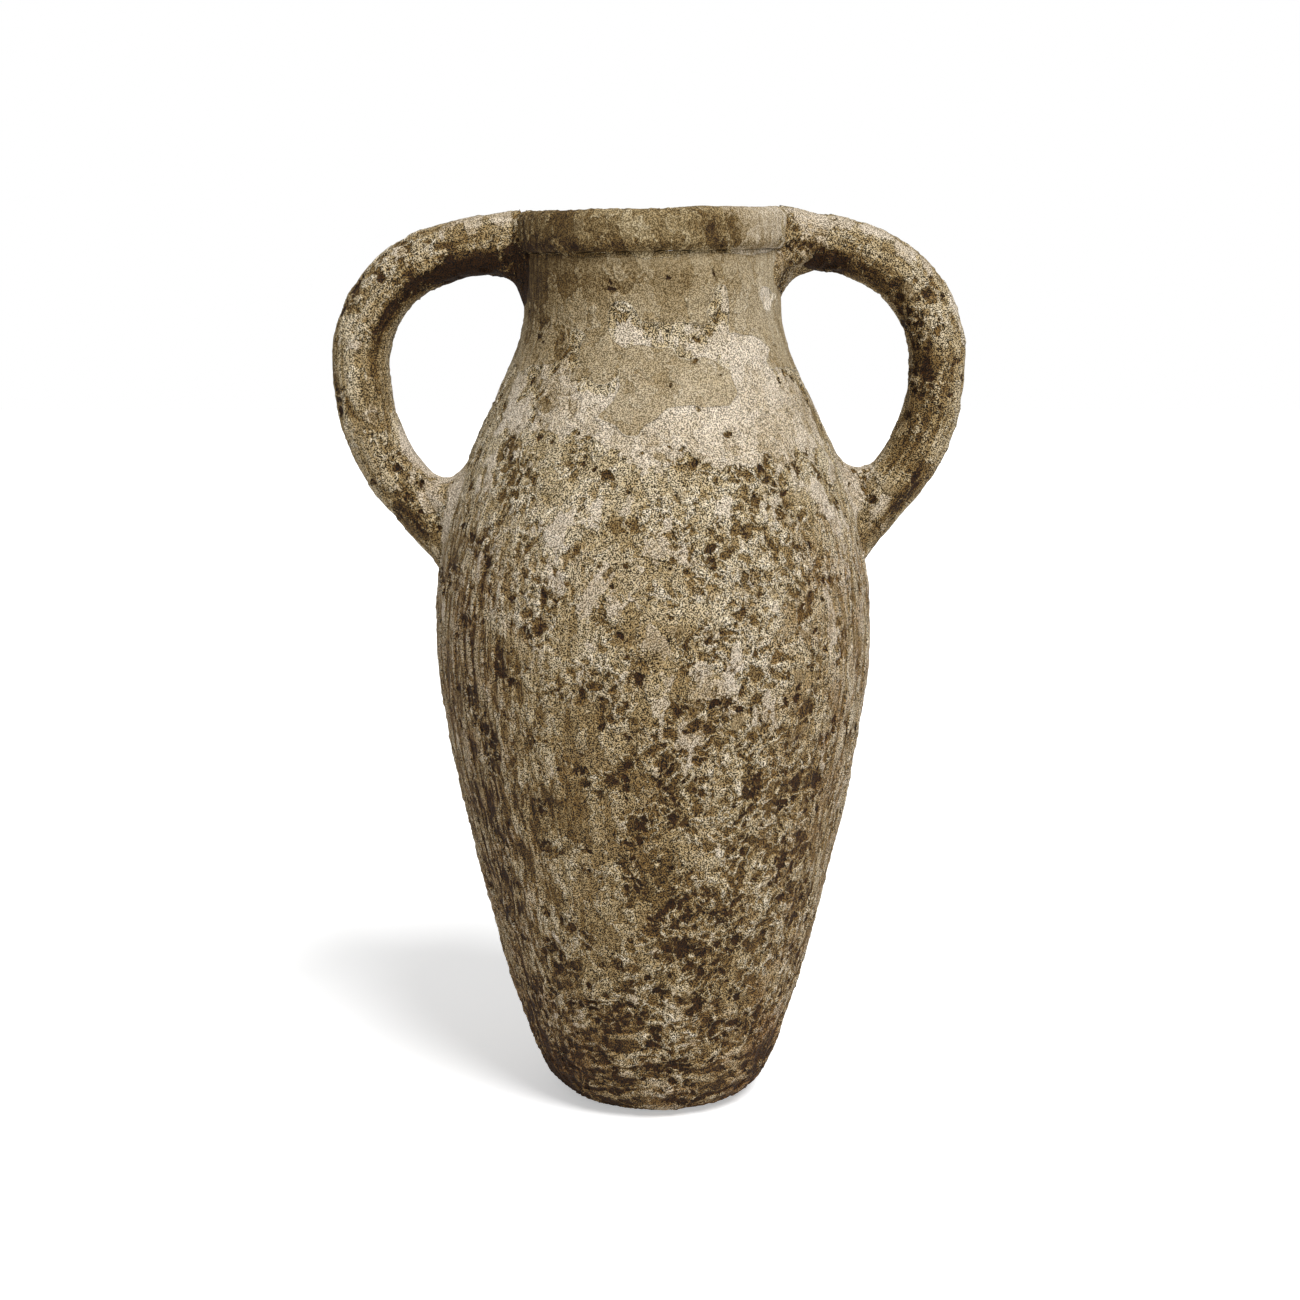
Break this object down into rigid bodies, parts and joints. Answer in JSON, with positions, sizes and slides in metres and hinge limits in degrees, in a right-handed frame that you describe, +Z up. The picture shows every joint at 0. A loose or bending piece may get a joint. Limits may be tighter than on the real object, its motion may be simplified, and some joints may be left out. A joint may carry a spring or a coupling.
{
  "type": "amphora",
  "caption": "Tall terracotta amphora: egg-shaped body, small rounded foot, short neck, plain rim band and ear handles from rim to shoulder. Stands alone, open at the top.",
  "frame": {"origin": "middle of the foot's flat underside, on the floor", "axes": "+Z up along the pot's axis towards the rim, +X towards the right handle, -Y is the front"},
  "size_m": [0.3913, 0.272, 0.56],
  "materials": {
    "foot_clay": "matte weathered terracotta with rust-brown edges",
    "wall_clay": "matte weathered terracotta under sandy slurry and worn lime wash",
    "neck_clay": "matte trowelled khaki slurry",
    "rim_clay": "matte dark mottled terracotta",
    "handle_clay": "matte sandy terracotta with streaks along the coil",
    "wad_clay": "matte pale smeared clay"
  },
  "bodies": {
    "root": {"base_slab": "foot_clay", "lower_body": "wall_clay", "upper_body": "wall_clay", "neck": "neck_clay", "rim_band": "rim_clay", "handle_left": "handle_clay", "handle_right": "handle_clay", "handle_left_upper_wad": "wad_clay", "handle_left_lower_wad": "wad_clay", "handle_right_upper_wad": "wad_clay", "handle_right_lower_wad": "wad_clay"}
  },
  "joints": []
}
